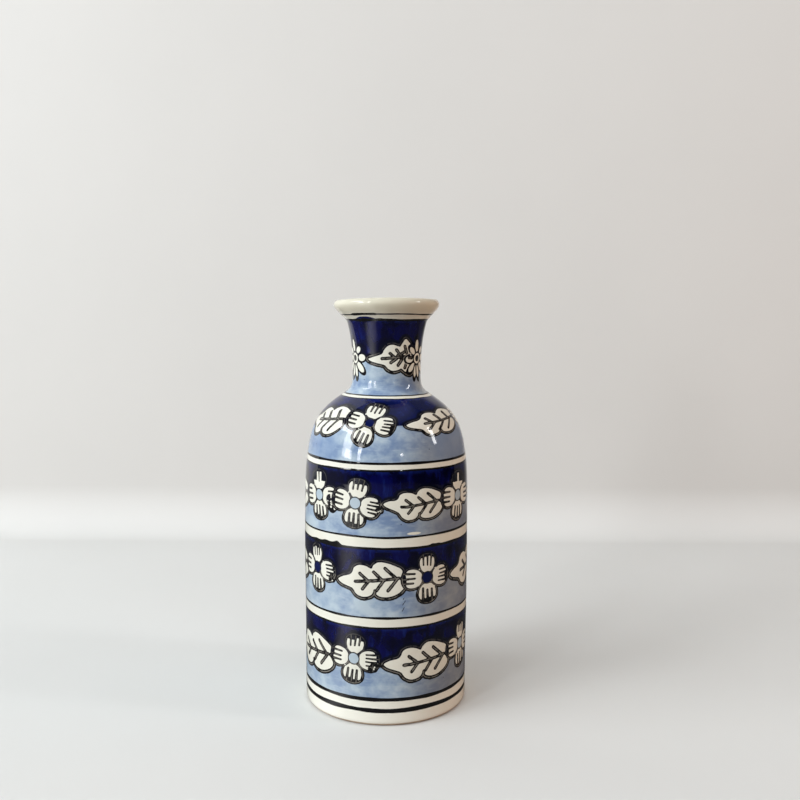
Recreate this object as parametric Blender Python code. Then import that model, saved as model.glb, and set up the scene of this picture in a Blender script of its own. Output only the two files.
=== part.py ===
"""Bottle vase of glazed earthenware, hand painted in cobalt, pale blue, cream and black.

The vase is one fired clay body. The lining, the bands of coloured glaze, the two black foot bands and the
raised garlands are the separate layers of material that lie on it. Each is its own solid, kept a hair's
breadth from its neighbours.

The frame has its origin at the centre of the resting plane, +Z up, and the front of the painting faces -Y.
The skin is the glazed outline of the vase in one run: from the foot's corner up the outside, over the lip
and down the inside to the middle of the floor. Everything is a stretch of that skin, sunk or raised by a
depth along its normal and turned about the Z axis. Lengths below are in millimetres until MM scales them.
"""

import math
from bisect import bisect_left
from collections import namedtuple

import bmesh
import bpy
from mathutils import Matrix, Vector, geometry

MM = 0.001

# Driving dimensions
HEIGHT = 250.0
BODY_RADIUS = 50.6
FOOT_RADIUS = 50.3
NECK_RADIUS = 20.9
LIP_RADIUS = 32.4
WALL = 5.5
NECK_WALL = 4.3
FLOOR_TOP = 8.3
GLAZE = 0.5
RELIEF = 0.5
GAP = 0.3

# Stations up the outside, as heights
FOOT_CORNER = 3.0
SHOULDER_START = 125.0
NECK_ROOT = (25.5, 192.7)
WAIST = 204.0
LIP_START = (24.3, 236.0)
LIP_WIDEST = 246.8

# Resting ring and recessed base
REST_OUTER = 47.9
REST_INNER = 43.0
RECESS_RADIUS = 41.6
RECESS_DEPTH = 2.8
RECESS_CHAMFER = (0.4, 0.8)
BASE_GLAZE_MARGIN = 1.0
BARE_FOOT_TOP = 1.5
BARE_STEP = 0.05

# Fineness: facets round the vase, points on each curve of the skin, and the spacing of a layer's stations
SEGMENTS = 32
DENSE_STEPS = 24
MAX_TURN = math.radians(28.0)
MAX_SAG = 0.2
CLOSEST_STATIONS = 0.6

# Painted bands, from the foot up: bottom and top height of each stretch of glaze. A zone also has the height
# at which its pale blue meets its cobalt.
FOOT_BAND = (1.9, 8.1)
LOWER_FOOT_LINE = (8.4, 10.8)
FOOT_STRIPE = (11.1, 15.0)
UPPER_FOOT_LINE = (15.3, 17.2)
LOWER_ZONE = (17.5, 39.4, 59.5)
MIDDLE_STRIPE = (59.8, 65.3)
MIDDLE_ZONE = (65.6, 88.8, 106.4)
UPPER_STRIPE = (106.7, 113.1)
UPPER_ZONE = (113.4, 132.2, 151.8)
SHOULDER_STRIPE = (152.1, 155.7)
SHOULDER_ZONE = (156.0, 177.7, 190.5)
NECK_STRIPE = (190.9, 192.3)
NECK_ZONE = (192.7, 216.0, 237.2)
COLLAR = (237.6, 240.5)
LIP_GLAZE_START = 241.0
LIP_GLAZE_END = 238.0

# Garlands: the degrees at which the flowers stand round the vase, the height of their eyes, the reach of
# their petals and the height of the leaves between them
Garland = namedtuple("Garland", "flowers height reach leaf_height")
GARLANDS = {
    "lower_garland": Garland((-21.0, 64.0, 152.0, 252.0), 40.2, 15.4, 20.5),
    "middle_garland": Garland((-53.0, 29.3, 114.0, 206.0), 88.8, 15.4, 20.5),
    "upper_garland": Garland((-50.5, -20.0, 58.5, 137.0, 217.0), 133.6, 15.4, 20.5),
    "shoulder_garland": Garland((-12.5, 96.0, 205.0, 247.5), 178.2, 15.6, 18.0),
    "neck_garland": Garland((-63.0, 60.0, 178.0), 214.2, 11.4, 18.0),
}
# A petal and a leaf, as half outlines from their root or tip. The petal is in shares of its reach, and the
# leaf in shares of its length and height.
PETAL = ((0.16, 0.13), (0.30, 0.31), (0.54, 0.43), (0.76, 0.42), (0.93, 0.26), (1.0, 0.0))
LEAF = ((0.0, 0.0), (0.20, 0.17), (0.28, 0.40), (0.40, 0.46), (0.53, 0.35), (0.62, 0.49), (0.76, 0.50),
        (0.92, 0.36), (1.0, 0.13))
EYE_REACH = 0.34
EYE_SIDES = 8
LEAF_LEAN = math.radians(3.0)
LEAF_OVERLAP = 1.6
OPEN_END = 1.0

CREAM = (0.80, 0.77, 0.69, 1.0)
COBALT = (0.006, 0.006, 0.12, 1.0)
PALE_BLUE = (0.22, 0.36, 0.62, 1.0)
BLACK = (0.012, 0.011, 0.010, 1.0)
EARTHENWARE = (0.62, 0.50, 0.38, 1.0)
GLOSSY = 0.08
SATIN = 0.12
MATT = 0.75
SHARP_EDGE = math.radians(35.0)


# The skin

def bezier(start, pull_start, pull_end, end):
    """Points of a cubic curve in the (radius, height) plane, without its last point."""
    points = []
    for step in range(DENSE_STEPS):
        t = step / DENSE_STEPS
        weights = ((1 - t) ** 3, 3 * (1 - t) ** 2 * t, 3 * (1 - t) * t ** 2, t ** 3)
        corners = (start, pull_start, pull_end, end)
        points.append(Vector((sum(w * c[0] for w, c in zip(weights, corners)),
                              sum(w * c[1] for w, c in zip(weights, corners)))))
    return points


def quarter(center, from_angle, radii):
    """Points of a quarter ellipse turning left from from_angle, without its last point."""
    points = []
    for step in range(DENSE_STEPS):
        angle = from_angle + 0.5 * math.pi * step / DENSE_STEPS
        points.append(Vector((center[0] + radii[0] * math.cos(angle),
                              center[1] + radii[1] * math.sin(angle))))
    return points


def straight(start, end):
    """Evenly spaced points on a line, without its last point."""
    return [Vector(start).lerp(Vector(end), step / DENSE_STEPS) for step in range(DENSE_STEPS)]


def build_skin():
    """The glazed outline: up the outside, over the lip, down the inside to the axis."""
    inner_body = BODY_RADIUS - WALL
    inner_neck = NECK_RADIUS - NECK_WALL
    lip_half = 0.5 * (WALL - 0.1)
    lip_middle = LIP_RADIUS - lip_half
    lip_rise = HEIGHT - LIP_WIDEST
    corner = 8.0

    skin = quarter((REST_OUTER, FOOT_CORNER), -0.5 * math.pi, (FOOT_RADIUS - REST_OUTER, FOOT_CORNER))
    skin += straight((FOOT_RADIUS, FOOT_CORNER), (BODY_RADIUS, 60.0))
    skin += straight((BODY_RADIUS, 60.0), (BODY_RADIUS, SHOULDER_START))
    skin += bezier((BODY_RADIUS, SHOULDER_START), (BODY_RADIUS, 172.0), (44.7, 180.2), NECK_ROOT)
    skin += bezier(NECK_ROOT, (22.4, 194.7), (NECK_RADIUS, 197.0), (NECK_RADIUS, WAIST))
    skin += bezier((NECK_RADIUS, WAIST), (NECK_RADIUS, 218.8), (22.2, 228.4), LIP_START)
    skin += bezier(LIP_START, (25.1, 238.6), (31.8, 243.0), (LIP_RADIUS, LIP_WIDEST))
    skin += quarter((lip_middle, LIP_WIDEST), 0.0, (lip_half, lip_rise))
    skin += quarter((lip_middle, LIP_WIDEST), 0.5 * math.pi, (lip_half, lip_rise))
    skin += bezier((lip_middle - lip_half, LIP_WIDEST), (26.2, 243.4), (20.8, 240.4), (19.6, 233.0))
    skin += bezier((19.6, 233.0), (18.4, 226.0), (inner_neck, 218.0), (inner_neck, 206.0))
    skin += bezier((inner_neck, 206.0), (inner_neck, 196.5), (18.6, 190.9), (22.4, 188.2))
    skin += bezier((22.4, 188.2), (39.2, 177.2), (inner_body, 170.0), (inner_body, SHOULDER_START))
    skin += straight((inner_body, SHOULDER_START), (inner_body, FLOOR_TOP + corner))
    floor_corner = quarter((inner_body - corner, FLOOR_TOP + corner), -0.5 * math.pi, (corner, corner))
    skin += [Vector((inner_body, FLOOR_TOP + corner))] + floor_corner[:0:-1]
    skin += straight((inner_body - corner, FLOOR_TOP), (0.0, FLOOR_TOP))
    skin.append(Vector((0.0, FLOOR_TOP)))
    return skin


SKIN = build_skin()
LENGTHS = [0.0]
for previous_point, next_point in zip(SKIN, SKIN[1:]):
    LENGTHS.append(LENGTHS[-1] + (next_point - previous_point).length)
TOP_INDEX = max(range(len(SKIN)), key=lambda index: SKIN[index].y)
TOTAL_LENGTH = LENGTHS[-1]


def station(height, inside=False):
    """Distance along the skin at which it passes a height, on the outside or on the inside."""
    order = range(TOP_INDEX, len(SKIN) - 1) if inside else range(TOP_INDEX)
    for index in order:
        low, high = sorted((SKIN[index].y, SKIN[index + 1].y))
        if low <= height <= high and high > low:
            share = (height - SKIN[index].y) / (SKIN[index + 1].y - SKIN[index].y)
            return LENGTHS[index] + share * (LENGTHS[index + 1] - LENGTHS[index])
    raise ValueError(f"the skin doesn't pass the height {height}")


def skin_point(distance):
    """Radius and height of the skin at a distance along it."""
    index = min(max(bisect_left(LENGTHS, distance), 1), len(SKIN) - 1)
    share = (distance - LENGTHS[index - 1]) / (LENGTHS[index] - LENGTHS[index - 1])
    return SKIN[index - 1].lerp(SKIN[index], share)


def skin_normal(distance):
    """Unit vector that points out of the clay."""
    reach = 0.4
    along = skin_point(min(distance + reach, TOTAL_LENGTH)) - skin_point(max(distance - reach, 0.0))
    return Vector((along.y, -along.x)).normalized()


def sunk(distance, depth):
    """Point at a depth under the skin. A negative depth stands proud of it."""
    return skin_point(distance) - skin_normal(distance) * depth


def turning_stations():
    """The stations that every layer shares, so close that a chord between two strays under MAX_SAG."""
    reversals = [station(height) for height in (NECK_ROOT[1], LIP_START[1])]
    chosen = []
    last_length = 0.0
    last_normal = skin_normal(0.0)
    for length in LENGTHS:
        normal = skin_normal(length)
        turned = normal.angle(last_normal)
        sag = (length - last_length) * turned / 8.0
        reverses = any(abs(length - reversal) < 1e-4 for reversal in reversals)
        if reverses or sag >= MAX_SAG or turned >= MAX_TURN:
            chosen.append(length)
            last_length = length
            last_normal = normal
    return chosen


TURNS = turning_stations()


def stations_between(start, end):
    """The two ends, with the shared stations that lie clearly between them."""
    between = [turn_at for turn_at in TURNS
               if start + CLOSEST_STATIONS < turn_at < end - CLOSEST_STATIONS]
    return [start] + between + [end]


def stretch(start, end, depth):
    """Points of the skin between two stations, sunk by a depth."""
    return [sunk(distance, depth) for distance in stations_between(start, end)]


# Objects

def add_material(target, name, color, roughness):
    material = bpy.data.materials.get(name) or bpy.data.materials.new(name)
    material.use_nodes = True
    surface = material.node_tree.nodes["Principled BSDF"]
    surface.inputs["Base Color"].default_value = color
    surface.inputs["Roughness"].default_value = roughness
    surface.inputs["Metallic"].default_value = 0.0
    target.data.materials.append(material)


def add_object(name, mesh_builder, color, roughness):
    bmesh.ops.recalc_face_normals(mesh_builder, faces=mesh_builder.faces)
    mesh = bpy.data.meshes.new(name)
    mesh_builder.to_mesh(mesh)
    mesh_builder.free()
    mesh.shade_smooth()
    mesh.set_sharp_from_angle(angle=SHARP_EDGE)
    target = bpy.data.objects.new(name, mesh)
    bpy.context.scene.collection.objects.link(target)
    add_material(target, f"{name}_finish", color, roughness)


def turn(name, profile, color, roughness, closed=True):
    """Turns a profile about the Z axis. An open profile starts and ends on the axis."""
    builder = bmesh.new()
    rim = [builder.verts.new((point.x * MM, 0.0, point.y * MM)) for point in profile]
    pairs = list(zip(rim, rim[1:]))
    if closed:
        pairs.append((rim[-1], rim[0]))
    edges = [builder.edges.new(pair) for pair in pairs]
    bmesh.ops.spin(builder, geom=rim + edges, cent=(0, 0, 0), axis=(0, 0, 1), angle=2 * math.pi,
                   steps=SEGMENTS, use_merge=True)
    bmesh.ops.remove_doubles(builder, verts=builder.verts, dist=1e-6)
    add_object(name, builder, color, roughness)


def glaze_ring(name, start, end, color):
    """A ring of glaze between two stations of the skin."""
    face = stretch(start, end, 0.0)
    back = stretch(start, end, GLAZE)
    turn(name, face + back[::-1], color, GLOSSY)


def glaze_band(name, low, high, color):
    return glaze_ring(name, station(low), station(high), color)


def painted_zone(name, heights):
    """Pale blue below and cobalt above, meeting behind the garland."""
    low, meeting, high = heights
    glaze_band(f"{name}_pale_blue_glaze", low, meeting - 0.5 * GAP, PALE_BLUE)
    glaze_band(f"{name}_cobalt_glaze", meeting + 0.5 * GAP, high, COBALT)


# Garlands

def turning(angle):
    """Matrix that turns a flat vector by an angle."""
    return Matrix.Rotation(-angle, 2)


def mirrored(half):
    """A closed outline from its upper half, in order round the shape."""
    upper = [Vector(corner) for corner in half]
    lower = [Vector((corner.x, -corner.y)) for corner in reversed(upper) if corner.y > 0.0]
    return (upper + lower)[::-1]


def flower_outlines(eye, reach):
    """Four petals and a round middle, as flat outlines."""
    middle = [Vector((EYE_REACH * reach, 0.0)) @ turning(2 * math.pi * side / EYE_SIDES)
              for side in range(EYE_SIDES)]
    outlines = [[eye + corner for corner in middle]]
    for quarter_turn in range(4):
        turned = turning(0.5 * math.pi * quarter_turn)
        outlines.append([eye + reach * (corner @ turned) for corner in mirrored(PETAL)])
    return outlines


def leaf_outline(tip, length, height):
    """A lobed leaf that points to the left and leans up to the right."""
    lean = turning(LEAF_LEAN)
    outline = []
    for corner in mirrored(LEAF):
        flat = Vector(((corner.x - 0.5) * length, corner.y * height)) @ lean
        outline.append(tip + Vector((0.5 * length, 0.0)) + flat)
    return outline


def garland_outlines(garland, radius):
    """The chain laid flat: across is the distance round the vase, and up is measured from the flowers' eyes.

    A leaf runs from each flower to the next where there is room, and the chain is open at the back.
    """
    places = [math.radians(angle) * radius for angle in garland.flowers]
    first_again = places[0] + 2 * math.pi * radius
    outlines = []
    for place, following in zip(places, places[1:] + [first_again]):
        outlines += flower_outlines(Vector((place, 0.0)), garland.reach)
        tip = place + garland.reach - LEAF_OVERLAP
        end = following - garland.reach + LEAF_OVERLAP
        if following == first_again:
            end -= LEAF_OVERLAP + OPEN_END
        if end - tip > garland.reach:
            outlines.append(leaf_outline(Vector((tip, 0.0)), end - tip, garland.leaf_height))
    return outlines


def fold_lines(outlines, middle, radius):
    """Lines along which a flat pattern bends: the edges between the flat faces of the glaze under it."""
    across = [corner.x for outline in outlines for corner in outline]
    up = [corner.y for outline in outlines for corner in outline]
    column = 2 * math.pi * radius / SEGMENTS
    lines = []
    for number in range(math.ceil(min(across) / column), math.floor(max(across) / column) + 1):
        lines.append(((number * column, min(up) - 1.0), (number * column, max(up) + 1.0)))
    for row in (turn_at - middle for turn_at in TURNS):
        if min(up) < row < max(up):
            lines.append(((min(across) - 1.0, row), (max(across) + 1.0, row)))
    return lines


def merged_outlines(outlines, lines):
    """Triangles that fill the union of flat outlines, cut along straight lines."""
    points = []
    faces = []
    for outline in outlines:
        faces.append(list(range(len(points), len(points) + len(outline))))
        points += outline
    edges = []
    for start, end in lines:
        edges.append((len(points), len(points) + 1))
        points += [Vector(start), Vector(end)]
    corners, _, triangles, _, _, owners = geometry.delaunay_2d_cdt(points, edges, faces, 0, 1e-5)
    return corners, [triangle for triangle, owner in zip(triangles, owners) if owner]


def wrapped_layer(builder, corners, used, middle, radius, depth):
    """Vertices of a flat pattern, bent round the vase at a depth under the skin."""
    layer = {}
    for corner in used:
        place = sunk(middle + corners[corner].y, depth) * MM
        angle = corners[corner].x / radius
        layer[corner] = builder.verts.new((place.x * math.sin(angle), -place.x * math.cos(angle), place.y))
    return layer


def add_garland(name, garland):
    """One chain of flowers and leaves round the vase, as a raised layer on the painted zone."""
    middle = station(garland.height)
    radius = skin_point(middle).x
    outlines = garland_outlines(garland, radius)
    corners, triangles = merged_outlines(outlines, fold_lines(outlines, middle, radius))
    used = sorted({corner for triangle in triangles for corner in triangle})
    builder = bmesh.new()
    under = wrapped_layer(builder, corners, used, middle, radius, -GAP)
    over = wrapped_layer(builder, corners, used, middle, radius, -GAP - RELIEF)
    sides = set()
    for triangle in triangles:
        builder.faces.new([over[corner] for corner in triangle])
        builder.faces.new([under[corner] for corner in reversed(triangle)])
        sides.update(zip(triangle, triangle[1:] + triangle[:1]))
    for start, end in sorted(sides):
        if (end, start) not in sides:
            builder.faces.new((under[start], under[end], over[end], over[start]))
    add_object(name, builder, CREAM, SATIN)


# The vase

def add_clay_body():
    """The fired shell: resting ring, wall, shoulder, neck and lip, with the recessed base below."""
    sink = GLAZE + GAP
    bare = stations_between(0.0, station(BARE_FOOT_TOP))
    profile = [Vector((0.0, RECESS_DEPTH)), Vector((RECESS_RADIUS, RECESS_DEPTH))]
    profile += [Vector((RECESS_RADIUS + RECESS_CHAMFER[0], RECESS_CHAMFER[1])), Vector((REST_INNER, 0.0))]
    profile += [skin_point(distance) for distance in bare]
    profile += stretch(station(BARE_FOOT_TOP) + BARE_STEP, TOTAL_LENGTH, sink)
    profile[-1].x = 0.0
    turn("clay_body", profile, EARTHENWARE, MATT, closed=False)


def add_lining():
    """Cream glaze that makes the inside watertight, from the throat to the floor."""
    start = station(LIP_GLAZE_END - GAP, inside=True)
    face = stretch(start, TOTAL_LENGTH, 0.0)
    back = stretch(start, TOTAL_LENGTH, GLAZE)
    face[-1].x = 0.0
    back[-1].x = 0.0
    turn("inner_glaze", face[::-1] + back, CREAM, SATIN, closed=False)


def add_base_glaze():
    """A thin disc of glaze in the recess under the floor."""
    radius = RECESS_RADIUS - BASE_GLAZE_MARGIN
    face = RECESS_DEPTH - GAP - GLAZE
    back = RECESS_DEPTH - GAP
    profile = [Vector((0.0, face)), Vector((radius, face)), Vector((radius, back)), Vector((0.0, back))]
    turn("base_glaze", profile, CREAM, SATIN, closed=False)


def build_vase():
    for old in list(bpy.data.objects):
        bpy.data.objects.remove(old, do_unlink=True)
    add_clay_body()
    add_lining()
    add_base_glaze()
    glaze_ring("lip_glaze", station(LIP_GLAZE_START), station(LIP_GLAZE_END, inside=True), CREAM)
    glaze_band("collar_glaze", *COLLAR, CREAM)
    glaze_band("neck_stripe_glaze", *NECK_STRIPE, CREAM)
    glaze_band("shoulder_stripe_glaze", *SHOULDER_STRIPE, CREAM)
    glaze_band("upper_stripe_glaze", *UPPER_STRIPE, CREAM)
    glaze_band("middle_stripe_glaze", *MIDDLE_STRIPE, CREAM)
    glaze_band("upper_foot_line", *UPPER_FOOT_LINE, BLACK)
    glaze_band("foot_stripe_glaze", *FOOT_STRIPE, CREAM)
    glaze_band("lower_foot_line", *LOWER_FOOT_LINE, BLACK)
    glaze_band("foot_glaze", *FOOT_BAND, CREAM)
    painted_zone("neck", NECK_ZONE)
    painted_zone("shoulder", SHOULDER_ZONE)
    painted_zone("upper", UPPER_ZONE)
    painted_zone("middle", MIDDLE_ZONE)
    painted_zone("lower", LOWER_ZONE)
    for name, garland in GARLANDS.items():
        add_garland(name, garland)


build_vase()
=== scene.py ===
"""Looks of the hand-painted bottle vase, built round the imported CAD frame.

The outside is cut along its painted rings into one shell of glaze for each zone and stripe. A shell is a
fine grid on the vase's skin. The painting is worked out on that grid as distances to drawn shapes, which
raise the surface where slip and glaze stand proud and which the glaze material turns into colours.

Lengths are in millimetres until MM scales them. A place on the skin is an angle round the vase (0 at the
front, growing to the right) and a distance along the skin, up the outside from the foot's corner, over the
lip and down the inside.
"""

from collections import namedtuple
from math import atan2, cos, pi, radians, sin, sqrt, tan

import bpy
import numpy as np
from mathutils import Matrix


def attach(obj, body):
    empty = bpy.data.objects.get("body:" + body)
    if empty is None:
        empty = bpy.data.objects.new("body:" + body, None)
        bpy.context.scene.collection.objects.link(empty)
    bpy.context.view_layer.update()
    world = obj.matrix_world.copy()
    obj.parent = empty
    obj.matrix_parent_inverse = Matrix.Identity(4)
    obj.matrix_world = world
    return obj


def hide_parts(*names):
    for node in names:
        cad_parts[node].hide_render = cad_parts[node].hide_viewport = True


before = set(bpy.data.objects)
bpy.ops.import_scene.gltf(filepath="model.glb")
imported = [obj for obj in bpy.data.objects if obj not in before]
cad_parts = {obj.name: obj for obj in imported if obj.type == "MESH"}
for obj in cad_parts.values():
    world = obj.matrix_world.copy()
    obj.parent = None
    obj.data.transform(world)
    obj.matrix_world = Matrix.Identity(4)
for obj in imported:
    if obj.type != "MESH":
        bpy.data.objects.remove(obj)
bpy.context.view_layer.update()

MM = 0.001

# The turned form, as in the CAD. Pairs are a radius and a height.
HEIGHT = 250.0
BODY_RADIUS = 50.6
FOOT_RADIUS = 50.3
NECK_RADIUS = 20.9
LIP_RADIUS = 32.4
WALL = 5.5
NECK_WALL = 4.3
FLOOR_TOP = 8.3
FOOT_CORNER = 3.0
SHOULDER_START = 125.0
NECK_ROOT = (25.5, 192.7)
WAIST = 204.0
LIP_START = (24.3, 236.0)
LIP_WIDEST = 246.8
REST_OUTER = 47.9
REST_INNER = 43.0
RECESS_RADIUS = 41.6
RECESS_DEPTH = 2.8
BARE_FOOT_TOP = 1.5
LIP_SHIFT = 0.35
TAPER_TOP = 60.0
FLOOR_CORNER = 8.0

# Fineness of the visible surface, and how far to each side of a place its normal is measured
CURVE_STEPS = 600
LATHE_COLUMNS = 240
NORMAL_REACH = 0.5
COLUMNS = 840
ROW = 0.42
BACK_SKIP = 8
BACK_ROW = 1.5

# How deep the shells' backs and the clay under them lie below the skin
GLAZE = 0.35
CLAY_SINK = 0.40

# How far each part of the painting stands over the skin or is cut into it, and how uneven the glaze is
LEAST_COAT = 0.05
BLUE_COAT = 0.06
CREAM_PILLOW = 0.09
OUTLINE_RIDGE = 0.025
RING_RIDGE = 0.07
STROKE_GROOVE = 0.04
UNEVENNESS = 0.025

# Painted rings: distance of each line's middle along the skin, and its half width
LOWER_FOOT_LINE = (10.9, 1.36)
UPPER_FOOT_LINE = (17.65, 1.12)
LOWER_TOP = (60.9, 0.62)
MIDDLE_BASE = (66.7, 0.66)
MIDDLE_TOP = (107.8, 0.72)
UPPER_BASE = (114.5, 0.64)
UPPER_TOP = (153.2, 0.58)
SHOULDER_BASE = (157.2, 0.74)
SHOULDER_TOP = (199.7, 0.36)
NECK_BASE = (202.5, 0.56)
NECK_TOP = (249.7, 0.74)
UNDER_LIP = (254.2, 0.50)
RINGS = (LOWER_FOOT_LINE, UPPER_FOOT_LINE, LOWER_TOP, MIDDLE_BASE, MIDDLE_TOP, UPPER_BASE, UPPER_TOP,
         SHOULDER_BASE, SHOULDER_TOP, NECK_BASE, NECK_TOP, UNDER_LIP)
# Rings whose lines have run: from and to which angle, how far up, how much wider, how rough
RUNS = {
    RINGS.index(MIDDLE_TOP): (299.0, 331.0, 0.40, 0.9, 0.55),
    RINGS.index(NECK_TOP): (308.0, 357.0, 0.05, 0.30, 0.2),
    RINGS.index(UNDER_LIP): (312.0, 350.0, 0.05, 0.9, 0.2),
}
# The line with the roughest run, and the angles of a second run on it
BLOTTED = RINGS.index(MIDDLE_TOP)
SECOND_BLOT = (30.0, 41.0)
# Cobalt that ran up over the neck's top line: from and to which angle, and how far
OVERRUN = (307.0, 354.0, 2.7)

# Where the shells at the foot meet along the skin, and the height where the lip's shell ends inside
FOOT_SEAMS = (9.6, 12.2, 16.5)
LIP_BOTTOM = 238.0

# Painted zones: lower and upper ring, and where pale blue meets cobalt
ZONES = {
    "lower": (UPPER_FOOT_LINE[0], LOWER_TOP[0], 40.6),
    "middle": (MIDDLE_BASE[0], MIDDLE_TOP[0], 90.0),
    "upper": (UPPER_BASE[0], UPPER_TOP[0], 133.5),
    "shoulder": (SHOULDER_BASE[0], SHOULDER_TOP[0], 180.3),
    "neck": (NECK_BASE[0], NECK_TOP[0], 227.8),
}


# The skin

STEPS = np.arange(CURVE_STEPS)[:, None] / CURVE_STEPS


def bezier(*corners):
    t = STEPS
    weights = ((1 - t) ** 3, 3 * (1 - t) ** 2 * t, 3 * (1 - t) * t ** 2, t ** 3)
    return sum(weight * np.array(corner) for weight, corner in zip(weights, corners))


def quarter(center, from_angle, radii):
    angle = from_angle + 0.5 * pi * STEPS
    return np.hstack([np.cos(angle), np.sin(angle)]) * radii + center


def straight(start, end):
    return (1 - STEPS) * np.array(start) + STEPS * np.array(end)


def build_skin():
    """The glazed outline: up the outside, over the lip, down the inside to the axis."""
    inner_body = BODY_RADIUS - WALL
    inner_neck = NECK_RADIUS - NECK_WALL
    lip_half = 0.5 * (WALL - 0.1)
    lip_middle = LIP_RADIUS - lip_half
    lip_rise = HEIGHT - LIP_WIDEST
    corner = FLOOR_CORNER
    floor_corner = quarter((inner_body - corner, FLOOR_TOP + corner), -0.5 * pi, (corner, corner))
    return np.vstack([
        quarter((REST_OUTER, FOOT_CORNER), -0.5 * pi, (FOOT_RADIUS - REST_OUTER, FOOT_CORNER)),
        straight((FOOT_RADIUS, FOOT_CORNER), (BODY_RADIUS, TAPER_TOP)),
        straight((BODY_RADIUS, TAPER_TOP), (BODY_RADIUS, SHOULDER_START)),
        bezier((BODY_RADIUS, SHOULDER_START), (BODY_RADIUS, 172.0), (44.7, 180.2), NECK_ROOT),
        bezier(NECK_ROOT, (22.4, 194.7), (NECK_RADIUS, 197.0), (NECK_RADIUS, WAIST)),
        bezier((NECK_RADIUS, WAIST), (NECK_RADIUS, 218.8), (22.2, 228.4), LIP_START),
        bezier(LIP_START, (25.1, 238.6), (31.8, 243.0), (LIP_RADIUS, LIP_WIDEST)),
        quarter((lip_middle, LIP_WIDEST), 0.0, (lip_half, lip_rise)),
        quarter((lip_middle, LIP_WIDEST), 0.5 * pi, (lip_half, lip_rise)),
        bezier((lip_middle - lip_half, LIP_WIDEST), (26.2, 243.4), (20.8, 240.4), (19.6, 233.0)),
        bezier((19.6, 233.0), (18.4, 226.0), (inner_neck, 218.0), (inner_neck, 206.0)),
        bezier((inner_neck, 206.0), (inner_neck, 196.5), (18.6, 190.9), (22.4, 188.2)),
        bezier((22.4, 188.2), (39.2, 177.2), (inner_body, 170.0), (inner_body, SHOULDER_START)),
        straight((inner_body, SHOULDER_START), (inner_body, FLOOR_TOP + corner)),
        [(inner_body, FLOOR_TOP + corner)],
        floor_corner[:0:-1],
        straight((inner_body - corner, FLOOR_TOP), (0.0, FLOOR_TOP)),
        [(0.0, FLOOR_TOP)],
    ])


SKIN = build_skin()
LENGTHS = np.concatenate([[0.0], np.cumsum(np.hypot(*np.diff(SKIN, axis=0).T))])
TOP_INDEX = int(SKIN[:, 1].argmax())


def skin_point(distance):
    return np.interp(distance, LENGTHS, SKIN[:, 0]), np.interp(distance, LENGTHS, SKIN[:, 1])


def skin_at(distance):
    """Radius, height and the outward normal's two parts, at distances along the skin."""
    ahead, behind = skin_point(distance + NORMAL_REACH), skin_point(distance - NORMAL_REACH)
    along_r, along_z = ahead[0] - behind[0], ahead[1] - behind[1]
    size = np.hypot(along_r, along_z)
    return *skin_point(distance), along_z / size, -along_r / size


def outside_station(height):
    return float(np.interp(height, SKIN[:TOP_INDEX + 1, 1], LENGTHS[:TOP_INDEX + 1]))


def inside_station(height):
    return float(np.interp(-height, -SKIN[TOP_INDEX:, 1], LENGTHS[TOP_INDEX:]))


# Flat drawing: closed outlines and strokes as distances

def smooth_outline(corners, per_span=5):
    """A closed Catmull-Rom curve through the corners."""
    p = np.array(corners, float)
    t = (np.arange(per_span) / per_span)[None, :, None]
    a, b, c, d = (np.roll(p, shift, 0)[:, None, :] for shift in (1, 0, -1, -2))
    curve = 0.5 * (2 * b + (c - a) * t + (2 * a - 5 * b + 4 * c - d) * t ** 2
                   + (3 * b - a - 3 * c + d) * t ** 3)
    return curve.reshape(-1, 2)


def outline_distance(x, y, outline):
    """Signed distance to a closed outline, negative inside."""
    nearest = np.full(x.shape, 1e9)
    inside = np.zeros(x.shape, bool)
    for (ax, ay), (bx, by) in zip(outline, np.roll(outline, -1, 0)):
        nearest = np.minimum(nearest, segment_squared(x, y, ax, ay, bx, by))
        crosses = (ay > y) != (by > y)
        if ay != by:
            inside ^= crosses & (x < ax + (y - ay) * (bx - ax) / (by - ay))
    return np.sqrt(nearest) * np.where(inside, -1.0, 1.0)


def segment_squared(x, y, ax, ay, bx, by):
    dx, dy = bx - ax, by - ay
    along = np.clip(((x - ax) * dx + (y - ay) * dy) / (dx * dx + dy * dy + 1e-12), 0.0, 1.0)
    return (x - ax - along * dx) ** 2 + (y - ay - along * dy) ** 2


def stroke_distance(x, y, strokes):
    nearest = np.full(x.shape, 1e9)
    for ax, ay, bx, by in strokes:
        nearest = np.minimum(nearest, segment_squared(x, y, ax, ay, bx, by))
    return np.sqrt(nearest)


def turned(x, y, angle):
    """Coordinates seen from axes that are turned by an angle."""
    c, s = cos(angle), sin(angle)
    return c * x + s * y, c * y - s * x


# Motifs

# What a distance is where nothing is drawn
FAR = 9.0

Leaf = namedtuple("Leaf", "length outline veins vein_width")
LEAF = Leaf(39.5, smooth_outline((
    (0, -0.2), (3.2, 1.7), (7.6, 3), (9.6, 4.8), (10.8, 7.4), (13.8, 8.9), (17.8, 8.5), (21.2, 7),
    (22.6, 9), (25.6, 10.6), (30.2, 10), (35, 8.1), (39, 5.6), (38.8, 2.6), (37.2, 0.7),
    (39.2, -1.6), (40, -4.4), (37.2, -7.4), (32.5, -9.4), (27.6, -9.6), (24.2, -8.4), (22.5, -6.2),
    (19.8, -8.7), (15.2, -9.4), (11.6, -7.8), (9.3, -4.8), (5.8, -3.5), (2, -2.2))), (
    (11.2, -0.7, 37, 0.9), (18.7, 0.1, 14.2, 4.1), (27.1, 0.6, 22.5, 5.1), (35, 1.4, 29.2, 7),
    (19, -0.8, 15.5, -4.9), (27.9, -0.4, 23.9, -5.6), (36, 0.4, 30.5, -6), (22.6, -7.6, 22.9, -5.8)),
    1.02)
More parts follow.
